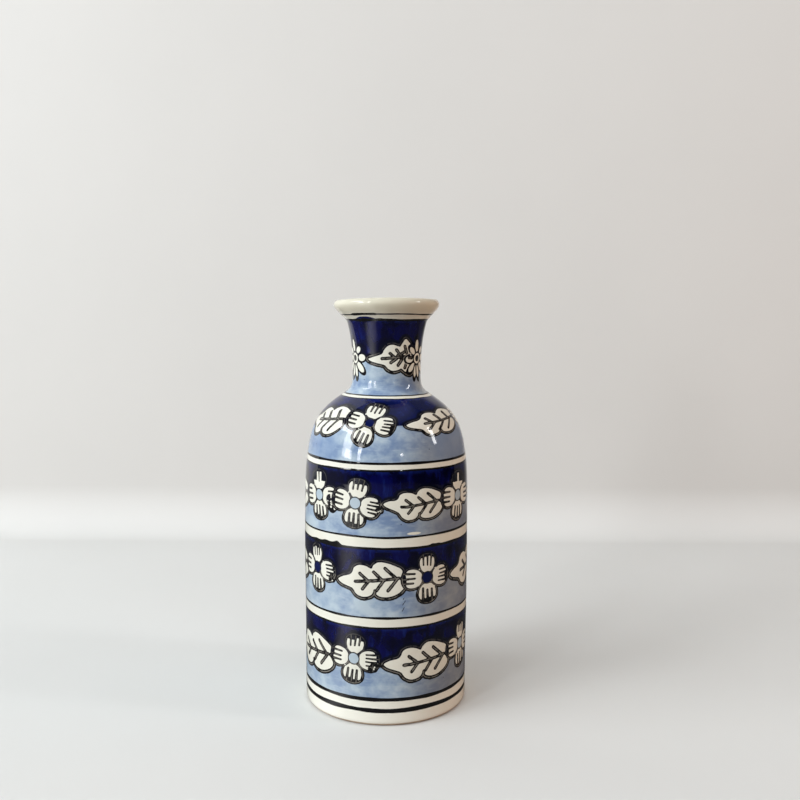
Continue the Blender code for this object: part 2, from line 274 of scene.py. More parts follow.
SHOULDER_LEAF = Leaf(LEAF.length, LEAF.outline, (
    (11.6, -0.4, 37, 1), (16.6, 0.2, 12.4, 4), (24.4, 0.6, 19.6, 6.2), (32.6, 1, 28, 7.4),
    (18.4, -0.6, 14.2, -5.4), (26.4, -0.2, 21.4, -6.6), (34.4, 0.4, 29.6, -7), (11.6, -0.2, 15, 0.3)),
    1.05)
NECK_LEAF = Leaf(28.9, smooth_outline((
    (0, 0), (4.5, 1.4), (8.5, 2.7), (10.2, 5.2), (12.5, 7.5), (15.5, 8.2), (18.4, 7.3), (20, 7),
    (21.8, 9.2), (24, 11.4), (26, 9.6), (28.2, 6.6), (28.9, 3), (28, 0.8), (28.8, -2),
    (29, -5.6), (27.8, -8.6), (25.5, -9.6), (22.6, -8.2), (20, -6.2), (17.6, -7), (14.6, -7.3),
    (12, -6), (9.8, -3.8), (5, -2.5), (1.6, -1.4))), (
    (8.6, 0, 28, 1.2), (16, 0.6, 13.6, 3), (20.4, 1, 17.6, 5), (24.6, 1.4, 23, 7),
    (17, -0.4, 13.8, -2.4), (21, -0.2, 18, -4.2), (25, 0.4, 22.4, -5.8), (27.6, 0.6, 26, -7),
    (12, 0.2, 16, 0.5), (18, 1.6, 22.4, 3.6)), 1.05)
# For each petal of the neck's flowers: its direction, where it starts and ends, and half its width
DAISY_PETALS = ((180, 0.36, 0.86, 0.18), (135, 0.34, 0.85, 0.13), (225, 0.34, 0.95, 0.14),
                (98, 0.34, 1, 0.13), (-104, 0.34, 1, 0.12), (-78, 0.34, 1, 0.11),
                (48, 0.38, 0.78, 0.14), (-44, 0.32, 1.02, 0.17), (4, 0.37, 0.86, 0.185))
DAISY_EYE = 0.28
DAISY_DOT = 0.17
DAISY_OUTLINE_WIDTH = 0.6

# A petal's outline and its cream palm, as shares of the flower's size, from the eye outwards
PETAL = ((0.17, 0.0), (0.215, 0.19), (0.30, 0.285), (0.40, 0.37), (0.54, 0.43), (0.71, 0.44),
         (0.87, 0.36), (0.97, 0.19), (1.0, 0.0))
PALM = ((0.235, 0.0), (0.24, 0.14), (0.29, 0.235), (0.38, 0.315), (0.51, 0.365), (0.66, 0.378),
        (0.80, 0.33), (0.88, 0.185), (0.90, 0.0))
FLOWER_SIZE = 15.6
FLATNESS = 0.95
EYE = 0.21
EYE_RING = 0.37
SHOULDER_EYE = 0.165
SHOULDER_RING = 0.55
SLIT_SPREAD = 0.20
USUAL_SLITS = 3
SLIT_OPENING = 0.05

# Half widths of the drawn lines, and how far outside a leaf's body the middle of its outline lies
OUTLINE_WIDTH = 1.0
LEAF_OUTLINE_WIDTH = 1.18
LEAF_OUTLINE_GAP = 1.1
SCRATCH_WIDTH = 0.55
FLECK_WIDTH = 0.22

# How a petal's fingers are cut: number of slits, where they start, where the fingers end, half the slits'
# width at their start, half the width of the fan of fingers, and the petal's width to the usual one
Cut = namedtuple("Cut", "slits start reach gap fan width")
TOP_CUT = Cut(3, 0.54, 0.81, 0.58, 0.5, 0.93)
TALL_CUT = Cut(3, 0.52, 0.86, 0.52, 0.5, 0.80)
SIDE_CUT = Cut(3, 0.56, 0.90, 0.62, 0.5, 1.0)
RIGHT_CUT = Cut(4, 0.54, 0.88, 0.52, 0.5, 1.0)
BOTTOM_CUT = Cut(3, 0.46, 0.84, 0.74, 0.5, 0.97)
TWO_FINGER_CUT = Cut(1, 0.52, 0.98, 0.42, 0.15, 1.0)
ONE_FINGER_CUT = Cut(0, 0.52, 0.98, 0.0, 0.055, 1.0)
USUAL_CUTS = (RIGHT_CUT, TOP_CUT, SIDE_CUT, BOTTOM_CUT)
MIDDLE_CUTS = (RIGHT_CUT, TALL_CUT, SIDE_CUT, BOTTOM_CUT)


def mirrored(half):
    """A closed outline from its upper half, whose two ends lie on the axis."""
    return np.array(list(half) + [(a, -b) for a, b in half[-2:0:-1]])


class Painting:
    """Distances from every point of a grid on the skin to what is drawn there.

    ink: signed, to the edge of the motifs' dark areas, in half widths of their outlines
    core: to the middle of the motifs' outlines, in half widths
    cream: signed, to the cream areas inside the outlines
    stroke: to the middle of veins and slits, in half widths
    eye: signed, to the flowers' eyes
    """

    FIELDS = ("ink", "core", "cream", "stroke", "eye")

    def __init__(self, angle, distance):
        self.angle, self.distance = np.meshgrid(angle, distance)
        self.radius = skin_at(self.distance)[0]
        for name in self.FIELDS:
            setattr(self, name, np.full(self.angle.shape, FAR))

    def near(self, place, reach, sides=None):
        """The grid points near a place in degrees and millimetres, and their flat coordinates from it."""
        left, right = sides or (-reach, reach)
        across = (self.angle - radians(place[0]) + pi) % (2 * pi) - pi
        x = across * self.radius
        y = self.distance - place[1]
        chosen = np.nonzero((x > left) & (x < right) & (abs(y) < reach))
        return chosen, x[chosen], y[chosen]

    def add(self, chosen, **shapes):
        """Adds shapes to the fields of the same names: the nearer distance holds."""
        for name, distance in shapes.items():
            values = getattr(self, name)
            values[chosen] = np.minimum(values[chosen], distance)

    def clear(self, chosen, covered, *names):
        """Wipes what is drawn in the covered part of the chosen places."""
        for name in names:
            values = getattr(self, name)
            values[chosen] = np.where(covered, FAR, values[chosen])

    def leaf(self, tip, end, rise, shape, height=1.0, bend=0.0):
        """A leaf from its tip's place to its blunt end's angle. Its body sags by the bend below the tip."""
        span = radians(end - tip[0]) * float(skin_at(np.array(tip[1]))[0])
        chosen, x, y = self.near(tip, 20.0, (-6.0, span + 6.0))
        x, y = turned(x, y, atan2(rise, span))
        x = x * shape.length / span
        y = (y + bend * smoothstep(x, 0.0, 0.4 * shape.length)) / height
        body = outline_distance(x, y, shape.outline)
        outline = (body - LEAF_OUTLINE_GAP) / LEAF_OUTLINE_WIDTH
        veins = stroke_distance(x, y, shape.veins) / shape.vein_width
        self.add(chosen, cream=body, ink=outline, core=abs(outline), stroke=veins)

    def petal(self, chosen, along, across, size, cut):
        """One petal on top of what is there: an outline, a palm, and fingers parted by slits."""
        uniform = self.draw.uniform
        longer, wider = size * uniform(0.96, 1.03), size * cut.width * uniform(0.96, 1.04)
        outline = outline_distance(along, across, smooth_outline(mirrored(PETAL) * (longer, wider)))
        palm = outline_distance(along, across, smooth_outline(mirrored(PALM) * (longer, wider)))
        spread = SLIT_SPREAD * wider * USUAL_SLITS / max(cut.slits, USUAL_SLITS)
        ends = np.full(along.shape, FAR)
        for number in range(cut.slits + 1):
            side = (number - 0.5 * cut.slits) * spread
            reach = (cut.reach + uniform(-0.07, 0.05)) * longer
            ends = np.minimum(ends, np.maximum(along - reach, abs(across - side) - 0.75 * spread))
        slits = []
        for number in range(cut.slits):
            side = (number - 0.5 * (cut.slits - 1)) * spread
            start = (cut.start + uniform(-0.05, 0.04)) * longer
            side_start = 0.94 * side + uniform(-0.15, 0.15)
            slits.append((start, side_start, 0.98 * longer, 1.03 * side + uniform(-0.25, 0.25)))
        slit = stroke_distance(along, across, slits)
        beyond_palm = along - (cut.start + 0.06) * longer
        opening = SLIT_OPENING * np.maximum(beyond_palm, 0.0)
        fan = np.minimum(abs(across) - cut.fan * wider, beyond_palm + 1.0)
        fan = np.where(beyond_palm > -0.5, fan, -FAR)
        ends = np.where(beyond_palm > 0.0, ends, -FAR)
        fingers = np.maximum.reduce([palm, cut.gap + opening - slit, fan, ends])
        inside = outline < 0.0
        own_strokes = slit / max(cut.gap, 0.3) if slits else np.full(slit.shape, FAR)
        kept = np.maximum(self.cream[chosen], OUTLINE_WIDTH - outline)
        self.cream[chosen] = np.where(inside, fingers, kept)
        self.stroke[chosen] = np.where(outline < OUTLINE_WIDTH, own_strokes, self.stroke[chosen])
        self.clear(chosen, inside, "core")
        self.add(chosen, ink=outline / OUTLINE_WIDTH, core=abs(outline) / OUTLINE_WIDTH)

    def flower(self, place, cuts=USUAL_CUTS, tilt=0.0, lean=0.0, size=FLOWER_SIZE, eye=EYE, ring=EYE_RING):
        """Four petals to the right, top, left and bottom of an eye. The bottom one may lean on its own."""
        uniform = self.draw.uniform
        chosen, x, y = self.near(place, 1.3 * size)
        tilt += uniform(-0.03, 0.03)
        y = y / FLATNESS
        for number in (1, 3, 2, 0):
            turn = tilt + 0.5 * pi * number + uniform(-0.06, 0.06) + (lean if number == 3 else 0.0)
            self.petal(chosen, *turned(x, y, turn), size, cuts[number])
        for number in range(4):
            corner = pi * (0.25 + 0.5 * number) + tilt + uniform(-0.08, 0.08)
            reach = uniform(0.46, 0.52) * size
            dot = np.hypot(x - reach * cos(corner), y - reach * sin(corner))
            self.add(chosen, cream=dot - uniform(0.25, 0.55))
        middle = np.hypot(x * uniform(0.96, 1.06), y) - eye * size
        self.cream[chosen] = np.maximum(self.cream[chosen], 2 * ring - middle)
        self.clear(chosen, middle < 2 * ring, "stroke")
        self.add(chosen, ink=(middle - ring) / ring, core=abs(middle - ring) / ring, eye=middle)

    def daisy(self, place, size):
        """Round and narrow petals by turns about a cream eye with a dark dot, for the neck."""
        chosen, x, y = self.near(place, 1.3 * size)
        edge = DAISY_OUTLINE_WIDTH
        for turn, start, reach, thick in DAISY_PETALS:
            along, across = turned(x, y, radians(turn + self.draw.uniform(-3.0, 3.0)))
            half = 0.5 * (reach - start) * size
            middle = start * size + half
            petal = (np.hypot((along - middle) / half, across / (thick * size)) - 1.0) * thick * size
            outline = petal - 0.5
            kept = np.maximum(self.cream[chosen], edge - outline)
            self.cream[chosen] = np.where(outline < 0.0, petal, kept)
            self.clear(chosen, outline < 0.0, "core")
            self.clear(chosen, outline < edge, "stroke")
            self.add(chosen, ink=outline / edge)
        middle = np.hypot(x, y)
        ring = np.maximum(DAISY_DOT * size - middle, middle - DAISY_EYE * size)
        covered = middle < DAISY_EYE * size + 0.8
        self.cream[chosen] = np.where(covered, ring, self.cream[chosen])
        self.clear(chosen, covered, "stroke")
        self.add(chosen, ink=(middle - DAISY_EYE * size - 0.4) / edge)

    def smudge(self, place, size, blobs, scratches):
        """A spot where the slip ran together: dark, with cream blobs and grey scratches left in it."""
        uniform = self.draw.uniform
        chosen, x, y = self.near(place, 1.5 * size)
        edge = np.hypot(x, y) - size * (1.0 + 0.16 * np.sin(3 * np.arctan2(y, x) + uniform(0, 6)))
        self.cream[chosen] = np.maximum(self.cream[chosen], -edge)
        self.clear(chosen, edge < 0.0, "stroke", "core")
        self.add(chosen, ink=edge)
        for _ in range(blobs):
            turn, reach = uniform(0, 2 * pi), size * sqrt(uniform(0.0, 0.8))
            blob = np.hypot(x - reach * cos(turn), (y - reach * sin(turn)) * uniform(0.6, 1.6))
            self.add(chosen, cream=blob - uniform(0.08, 0.24) * size)
        for _ in range(scratches):
            turn, reach = uniform(0, 2 * pi), size * sqrt(uniform(0.0, 0.9))
            way, length = uniform(0, 2 * pi), uniform(1.0, 3.2)
            start_x, start_y = reach * cos(turn), reach * sin(turn)
            scratch = (start_x, start_y, start_x + length * cos(way), start_y + length * sin(way))
            self.add(chosen, core=stroke_distance(x, y, (scratch,)) / SCRATCH_WIDTH)

    def flecks(self, places, length):
        """Short dark marks."""
        for place in places:
            chosen, x, y = self.near(place, 3.0)
            mark = (-0.3 * length, -0.5 * length, 0.3 * length, 0.5 * length)
            self.add(chosen, stroke=stroke_distance(x, y, (mark,)) / FLECK_WIDTH)

    def patch(self, place, half_width, half_height):
        """A spot where the cream glaze shows through."""
        chosen, x, y = self.near(place, 6.0, (-3 * half_width, 3 * half_width))
        self.add(chosen, cream=(np.hypot(x / half_width, y / half_height) - 1.0) * half_height)


# Degrees from a flower's middle to the next leaf's tip, and from its blunt end to the next flower
LEAF_LEAD = 20.6
LEAF_TRAIL = 17.2


def leaf_chain(painting, flowers, seed, tip_height, rise, lead=LEAF_LEAD, trail=LEAF_TRAIL, height=1.0,
               last_height=1.0, shape=LEAF, bend=0.0):
    """A leaf between each two flowers that leave room for one."""
    draw = np.random.default_rng(seed)
    following = flowers[1:] + (flowers[0] + 360.0,)
    for here, there in zip(flowers, following):
        tip, end = here + lead, there - trail
        lift = draw.uniform(-0.2, 0.2)
        taller = (last_height if there > flowers[-1] else height) * draw.uniform(0.98, 1.02)
        if end - tip > 0.8 * lead:
            painting.leaf((tip, tip_height + lift), end, rise, shape, taller, bend)


def paint_lower(painting):
    leaf_chain(painting, (-21, 64, 152, 252), 21, 39.3, 1.2, height=1.04, last_height=1.08,
               bend=0.9)
    painting.flower((-21, 41.5), tilt=-0.08)
    painting.flower((64, 41.9), (SIDE_CUT, TALL_CUT, SIDE_CUT, BOTTOM_CUT))
    painting.flower((152, 41.7))
    painting.flower((252, 41.5), MIDDLE_CUTS)
    painting.smudge((-8.2, 36.9), 2.3, 3, 9)
    painting.smudge((-4.2, 39), 1.2, 1, 4)


def paint_middle(painting):
    leaf_chain(painting, (-53, 29.3, 114, 206), 22, 88.3, 1.4, height=1.03)
    painting.flower((-53, 91.4), MIDDLE_CUTS)
    painting.flower((29.3, 89.4), MIDDLE_CUTS)
    painting.flower((114, 90.1))
    painting.flower((206, 90.7), MIDDLE_CUTS)
    painting.smudge((-38.5, 87.5), 2.2, 4, 9)
    painting.flecks(((12.5, 78.2), (13.4, 76.4), (12.2, 74.9), (12.6, 72.4), (11.9, 71.2)), 1.1)


def paint_upper(painting):
    leaf_chain(painting, (-50.5, -20, 58.5, 137, 217), 23, 134.3, 2, 19, 18.4, 0.88, 0.88,
               bend=2.4)
    painting.flower((-50.5, 135.8), (RIGHT_CUT, TWO_FINGER_CUT, SIDE_CUT, BOTTOM_CUT))
    painting.flower((58.5, 134.8), (SIDE_CUT, ONE_FINGER_CUT, SIDE_CUT, BOTTOM_CUT))
    painting.flower((137, 134.6))
    painting.flower((217, 135.2), MIDDLE_CUTS)
    painting.smudge((-37.2, 133), 4.8, 13, 30)
    painting.flower((-20, 134), tilt=-0.16, lean=0.12)
    painting.smudge((-3.5, 131), 1.9, 3, 7)
    painting.patch((19.5, 116.4), 4.2, 0.85)


def paint_shoulder(painting):
    leaf_chain(painting, (-12.5, 96, 205, 247.5), 24, 179.6, 2, 29, 24, 0.76, 0.98, SHOULDER_LEAF)
    for place, size, cuts, tilt, lean in (
            ((-12.5, 181), 14.9, USUAL_CUTS, -0.26, -0.14), ((96, 180.8), 14.6, USUAL_CUTS, -0.1, 0),
            ((205, 181.1), 14.6, MIDDLE_CUTS, 0, 0), ((247.5, 180.8), 14.6, USUAL_CUTS, 0, 0)):
        painting.flower(place, cuts, tilt, lean, size, SHOULDER_EYE, SHOULDER_RING)


def paint_neck(painting):
    flowers = (-63, 60, 178)
    for here, there in zip(flowers, flowers[1:] + (flowers[0] + 360,)):
        painting.leaf((here + 33, 226), there - 11.5, 0.6, NECK_LEAF)
    for angle in flowers:
        painting.daisy((angle, 226), 11.4)
    painting.smudge((43, 227.3), 2.1, 4, 6)


# For each zone, what paints it and the seed of its random draws
PAINTERS = {"lower": (paint_lower, 11), "middle": (paint_middle, 12), "upper": (paint_upper, 13),
            "shoulder": (paint_shoulder, 14), "neck": (paint_neck, 15)}


# Rings, zones and the unevenness of handwork

def ripple(angle, distance, seed, waves, most_turns, shortest=50.0):
    """A smooth random wave round the vase, of about unit size."""
    draw = np.random.default_rng(seed)
    total = np.zeros(np.broadcast(angle, distance).shape)
    for _ in range(waves):
        turns = draw.integers(1, most_turns + 1)
        along = draw.uniform(-1.0, 1.0) * 2 * pi / shortest
        total = total + np.sin(turns * angle + along * distance + draw.uniform(0, 2 * pi))
    return total / sqrt(0.5 * waves)


def stretch(angle, start, end, soft=5.0):
    """1 between two angles round the vase in degrees, 0 elsewhere."""
    across = (np.degrees(angle) - start) % 360.0
    span = end - start
    return smoothstep(across, 0.0, soft) * (1.0 - smoothstep(across, span - soft, span))


def spreading(number, angle):
    """Where a ring's line has run: how far its middle has moved up and how much wider it is."""
    start, end, lift, widening, roughness = RUNS.get(number, (0.0, 1.0, 0.0, 0.0, 0.0))
    most_turns = 48 if number == BLOTTED else 12
    rough = 1.0 + roughness * ripple(angle, 0.0, 33 + number, 9, most_turns)
    share = stretch(angle, start, end) * np.clip(rough, 0.0, 2.0)
    if number == BLOTTED:
        share = share + 0.7 * stretch(angle, *SECOND_BLOT) * np.clip(rough, 0.0, 2.0)
    return lift * share, widening * share


def ring_distance(angle, distance):
    """Distance to the nearest ring line, in its half widths."""
    nearest = np.full(angle.shape, FAR)
    for number, (middle, half_width) in enumerate(RINGS):
        lift, widening = spreading(number, angle)
        sway = 0.09 * ripple(angle, 0.0, 40 + number, 5, 7) + lift
        uneven = 1.0 + 0.09 * ripple(angle, 0.0, 60 + number, 6, 18) + widening
        nearest = np.minimum(nearest, abs(distance - middle - sway) / (half_width * uneven))
    return nearest


def overrun(zone, angle):
    """How far a zone's cobalt reaches over its top line."""
    start, end, reach = OVERRUN
    return reach * stretch(angle, start, end, 20.0) if zone == "neck" else 0.0 * angle


def zone_depths(angle, distance):
    """How far places lie inside a painted zone, and how far above the line where its two blues meet."""
    depth = cobalt = np.full(angle.shape, -FAR)
    for number, (zone, (low, high, meeting)) in enumerate(ZONES.items()):
        top = high + overrun(zone, angle)
        sway = 0.6 * ripple(angle, 0.0, 80 + number, 5, 14)
        depth = np.maximum(depth, np.minimum(distance - low, top - distance))
        cobalt = np.where((distance > low) & (distance < top), distance - meeting - sway, cobalt)
    return depth, cobalt


def smoothstep(value, low, high):
    t = np.clip((value - low) / (high - low), 0.0, 1.0)
    return t * t * (3 - 2 * t)


def relief(painting, ring, zone):
    """Height of the glaze over the skin."""
    pillow = CREAM_PILLOW * smoothstep(-painting.cream, -1.2, 2.8)
    outline = OUTLINE_RIDGE * np.exp(-(painting.core / 0.8) ** 2)
    groove = -STROKE_GROOVE * np.exp(-painting.stroke ** 2) * smoothstep(-painting.cream, -1.2, 0.4)
    ring_line = RING_RIDGE * np.exp(-(ring / 0.8) ** 2)
    coat = BLUE_COAT * smoothstep(zone, 0.0, 1.2)
    sway = UNEVENNESS * ripple(painting.angle, painting.distance, 21, 14, 16, 22.0)
    return pillow + outline + groove + ring_line + coat + sway + LEAST_COAT


def turned_places(angle, r, z, level):
    """World places for points of the turned form, whose rim isn't quite level or centred."""
    rim_lift = smoothstep(level, 232.0, HEIGHT) * (0.45 * np.cos(2 * angle) + 0.35 * np.sin(angle))
    lip_shift = -LIP_SHIFT * smoothstep(level, LIP_START[1], LIP_WIDEST)
    return np.stack([r * np.sin(angle) + lip_shift, -r * np.cos(angle), z + rim_lift], -1) * MM


def skin_places(angle, distance, height):
    """World places for points on the skin, raised by a height along its normal."""
    radius, level, normal_r, normal_z = skin_at(distance)
    out_of_round = 0.10 * ripple(angle, distance, 31, 6, 3, 90.0)
    r = radius + normal_r * height + out_of_round * smoothstep(level, 2.0, 20.0)
    return turned_places(angle, r, level + normal_z * height, level)


# Meshes

def mesh_object(name, places, faces, smooth_angle=50.0):
    """A mesh from places and from groups of faces that all have the same number of corners."""
    mesh = bpy.data.meshes.new(name)
    mesh.vertices.add(len(places))
    mesh.vertices.foreach_set("co", np.ascontiguousarray(places, np.float32).ravel())
    corners = np.concatenate([group.ravel() for group in faces]).astype(np.int32)
    totals = np.concatenate([np.full(len(group), group.shape[1]) for group in faces]).astype(np.int32)
    starts = np.concatenate([[0], np.cumsum(totals)[:-1]]).astype(np.int32)
    mesh.loops.add(len(corners))
    mesh.loops.foreach_set("vertex_index", corners)
    mesh.polygons.add(len(totals))
    mesh.polygons.foreach_set("loop_start", starts)
    mesh.update(calc_edges=True)
    mesh.validate()
    mesh.shade_smooth()
    mesh.set_sharp_from_angle(angle=radians(smooth_angle))
    target = bpy.data.objects.new(name, mesh)
    bpy.context.scene.collection.objects.link(target)
    return target


def grid_quads(rows, columns, first=0):
    """Quads of a grid that closes on itself round the vase, facing out."""
    row = np.arange(rows)[:, None] * columns
    here = np.arange(columns)[None, :]
    there = (here + 1) % columns
    quads = np.stack([row + here, row + there, row + columns + there, row + columns + here], -1)
    return quads.reshape(-1, 4) + first


def glaze_shell(name, start, end, zone, nodes, material):
    """A closed shell of glaze between two stations: a fine painted face and a plain back."""
    rows = max(4, round((end - start) / ROW))
    angle = 2 * pi * np.arange(COLUMNS) / COLUMNS
    distance = np.linspace(start, end, rows + 1)
    painting = Painting(angle, distance)
    if zone:
        painter, seed = PAINTERS[zone]
        painting.draw = np.random.default_rng(seed)
        painter(painting)
    ring = ring_distance(painting.angle, painting.distance)
    depth, cobalt = zone_depths(painting.angle, painting.distance)
    face = skin_places(painting.angle, painting.distance, relief(painting, ring, depth))

    back_columns = COLUMNS // BACK_SKIP
    back_rows = max(2, round((end - start) / BACK_ROW))
    back_angle, back_distance = np.meshgrid(angle[::BACK_SKIP], np.linspace(start, end, back_rows + 1))
    back = skin_places(back_angle, back_distance, -GLAZE)

    first_back = (rows + 1) * COLUMNS
    back_quads = grid_quads(back_rows, back_columns, first_back)[:, ::-1]
    steps = np.arange(BACK_SKIP + 1)
    block = np.arange(back_columns)[:, None]
    low_face = (block * BACK_SKIP + steps) % COLUMNS
    here = first_back + block
    there = first_back + (block + 1) % back_columns
    low_cap = np.concatenate([low_face[:, ::-1], here, there], 1)
    top = back_rows * back_columns
    high_cap = np.concatenate([low_face + rows * COLUMNS, there + top, here + top], 1)

    places = np.concatenate([face.reshape(-1, 3), back.reshape(-1, 3)])
    shell = mesh_object(name, places, [grid_quads(rows, COLUMNS), back_quads, low_cap, high_cap])
    fields = {name: getattr(painting, name) for name in Painting.FIELDS}
    fields.update(ring=ring, zone=depth, cobalt=cobalt)
    for field, values in fields.items():
        add_field(shell.data, field, values, len(back.reshape(-1, 3)))
    finish_piece(shell, nodes, material)
    return shell


def add_field(mesh, name, values, spare):
    """Stores one number for each vertex. The back's vertices get a number far from any line."""
    attribute = mesh.attributes.new(name, "FLOAT", "POINT")
    every = np.concatenate([values.ravel(), np.full(spare, FAR if name != "zone" else -FAR)])
    attribute.data.foreach_set("value", every.astype(np.float32))


def finish_piece(piece, nodes, material):
    piece.data.materials.append(material)
    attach(piece, "root")
    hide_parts(*nodes)


def lathe(name, profile, nodes, material):
    """A turned solid whose profile starts and ends on the axis."""
    profile = np.array(profile, float)
    columns = LATHE_COLUMNS
    angle = 2 * pi * np.arange(columns) / columns
    ring = profile[1:-1]
    r, z = ring[:, 0][:, None], ring[:, 1][:, None] + 0 * angle[None, :]
    places = turned_places(angle, r, z, z).reshape(-1, 3)
    poles = np.array([(0.0, 0.0, profile[0, 1]), (0.0, 0.0, profile[-1, 1])]) * MM
    first, last = len(places), len(places) + 1
    here = np.arange(columns)
    there = (here + 1) % columns
    base = (len(ring) - 1) * columns
    low = np.stack([np.full(columns, first), there, here], 1)
    high = np.stack([np.full(columns, last), base + here, base + there], 1)
    faces = [grid_quads(len(ring) - 1, columns), low, high]
    solid = mesh_object(name, np.concatenate([places, poles]), faces, 35.0)
    finish_piece(solid, nodes, material)
    return solid


def sunk_profile(start, end, depth, step):
    count = max(2, round((end - start) / step))
    radius, height, normal_r, normal_z = skin_at(np.linspace(start, end, count + 1))
    return list(zip(np.maximum(radius - normal_r * depth, 0.0), height - normal_z * depth))


# Materials

CREAM = (0.765, 0.79, 0.715, 1.0)
CREAM_DEEP = (0.72, 0.70, 0.59, 1.0)
# Painted light for the foot and painted shade for the lip
CREAM_FOOT_PAINTED_LIGHT = (0.86, 0.885, 0.81, 1.0)
CREAM_LIP_PAINTED_SHADE = (0.65, 0.645, 0.535, 1.0)
COBALT_DARK = (0.0009, 0.0009, 0.013, 1.0)
COBALT = (0.0018, 0.0024, 0.054, 1.0)
COBALT_BRIGHT = (0.0065, 0.017, 0.13, 1.0)
PALE_DEEP = (0.17, 0.26, 0.43, 1.0)
PALE = (0.31, 0.415, 0.545, 1.0)
PALE_LIGHT = (0.47, 0.58, 0.66, 1.0)
# Painted shade for the pale wash's right side
PALE_PAINTED_SHADE = (0.205, 0.215, 0.225, 1.0)
INK = (0.0060, 0.0062, 0.0070, 1.0)
INK_IN_COBALT = (0.0020, 0.0030, 0.0110, 1.0)
CORE = (0.19, 0.185, 0.165, 1.0)
CLAY = (0.60, 0.50, 0.39, 1.0)
CLAY_DARK = (0.44, 0.34, 0.25, 1.0)
COBALT_EYE = (0.002, 0.006, 0.058, 1.0)
PALE_EYE = (0.41, 0.515, 0.595, 1.0)
# How much brighter the shoulder's cobalt is: partly thinner cobalt, partly painted sheen
SHOULDER_THINNESS_AND_SHEEN = 0.33
GLAZE_ROUGHNESS = 0.045
# How much the painter's hand shakes at the edges of each kind of shape
HAND_WOBBLE = (("ink", 0.45), ("cream", 0.30), ("stroke", 0.50), ("ring", 0.15))


class Nodes:
    """Adds nodes to a tree. Apart from node itself, each method gives back the new node's output."""

    def __init__(self, tree):
        self.tree = tree
        self.link = tree.links.new

    def node(self, kind, inputs=None, **settings):
        node = self.tree.nodes.new(kind)
        for key, value in settings.items():
            setattr(node, key, value)
        for key, value in (inputs or {}).items():
            if isinstance(value, bpy.types.NodeSocket):
                self.link(value, node.inputs[key])
            else:
                node.inputs[key].default_value = value
        return node

    def field(self, name):
        return self.node("ShaderNodeAttribute", attribute_name=name).outputs["Fac"]

    def math(self, operation, first, second=0.0):
        return self.node("ShaderNodeMath", {0: first, 1: second}, operation=operation).outputs[0]

    def plus(self, first, second):
        return self.math("ADD", first, second)

    def minus(self, first, second):
        return self.math("SUBTRACT", first, second)

    def times(self, first, second):
        return self.math("MULTIPLY", first, second)

    def step(self, value, low, high):
        """0 below low, 1 above high, smooth between."""
        inputs = {"Value": value, "From Min": low, "From Max": high}
        return self.node("ShaderNodeMapRange", inputs, interpolation_type="SMOOTHSTEP").outputs["Result"]

    def within(self, value, low, high):
        """1 below low, 0 above high, smooth between."""
        return self.minus(1.0, self.step(value, low, high))

    def blend(self, share, under, over):
        node = self.node("ShaderNodeMix", {0: share, 6: under, 7: over}, data_type="RGBA")
        return node.outputs[2]

    def millimetres(self, squeeze=(1.0, 1.0, 1.0), shift=0.0):
        """Object coordinates in millimetres, times the squeeze along each axis."""
        source = self.node("ShaderNodeTexCoord").outputs["Object"]
        scale = tuple(part / MM for part in squeeze)
        inputs = {"Vector": source, "Scale": scale, "Location": (shift, shift, shift)}
        return self.node("ShaderNodeMapping", inputs).outputs["Vector"]

    def position(self, axis):
        """One of the object coordinates, in metres."""
        source = self.node("ShaderNodeTexCoord").outputs["Object"]
        return self.node("ShaderNodeSeparateXYZ", {0: source}).outputs[axis]

    def noise(self, place, scale, detail=2.0, roughness=0.5):
        inputs = {"Vector": place, "Scale": scale, "Detail": detail, "Roughness": roughness}
        return self.node("ShaderNodeTexNoise", inputs).outputs["Fac"]

    def specks(self, cell, share, size):
        """Round specks in a share of the cells of the given size."""
        cells = self.node("ShaderNodeTexVoronoi", {"Vector": self.millimetres(), "Scale": 1.0 / cell})
        lot = self.node("ShaderNodeSeparateColor", {0: cells.outputs["Color"]}).outputs[0]
        chosen = self.step(lot, 1.0 - share, 1.0 - share + 0.01)
        return self.times(chosen, self.within(cells.outputs["Distance"], 0.6 * size, size))

    def worn_places(self):
        """Where the black slip lies thin enough to show grey."""
        return self.step(self.noise(self.millimetres(shift=5.0), 0.30), 0.34, 0.54)


def start_material(name):
    material = bpy.data.materials.new(name)
    material.use_nodes = True
    tree = material.node_tree
    return material, Nodes(tree), tree.nodes["Principled BSDF"]


def cobalt_color(n, shift, thinness_and_sheen):
    """Dark cobalt that thins to a brighter blue in streaks that ran down in the firing."""
    streaks = n.noise(n.millimetres((1.0, 1.0, 0.22), shift), 0.32, 3.0, 0.6)
    clouds = n.noise(n.millimetres((1.0, 1.0, 0.7), shift + 7.0), 0.11, 2.0)
    color = n.blend(n.step(clouds, 0.38, 0.62), COBALT_DARK, COBALT)
    thin = n.times(n.step(streaks, 0.50, 0.74), n.step(clouds, 0.40, 0.60))
    # A share of brighter blue over the whole zone, partly thinner cobalt and partly painted sheen
    thin = n.plus(n.times(thin, 0.75), thinness_and_sheen)
    return n.blend(thin, color, COBALT_BRIGHT)


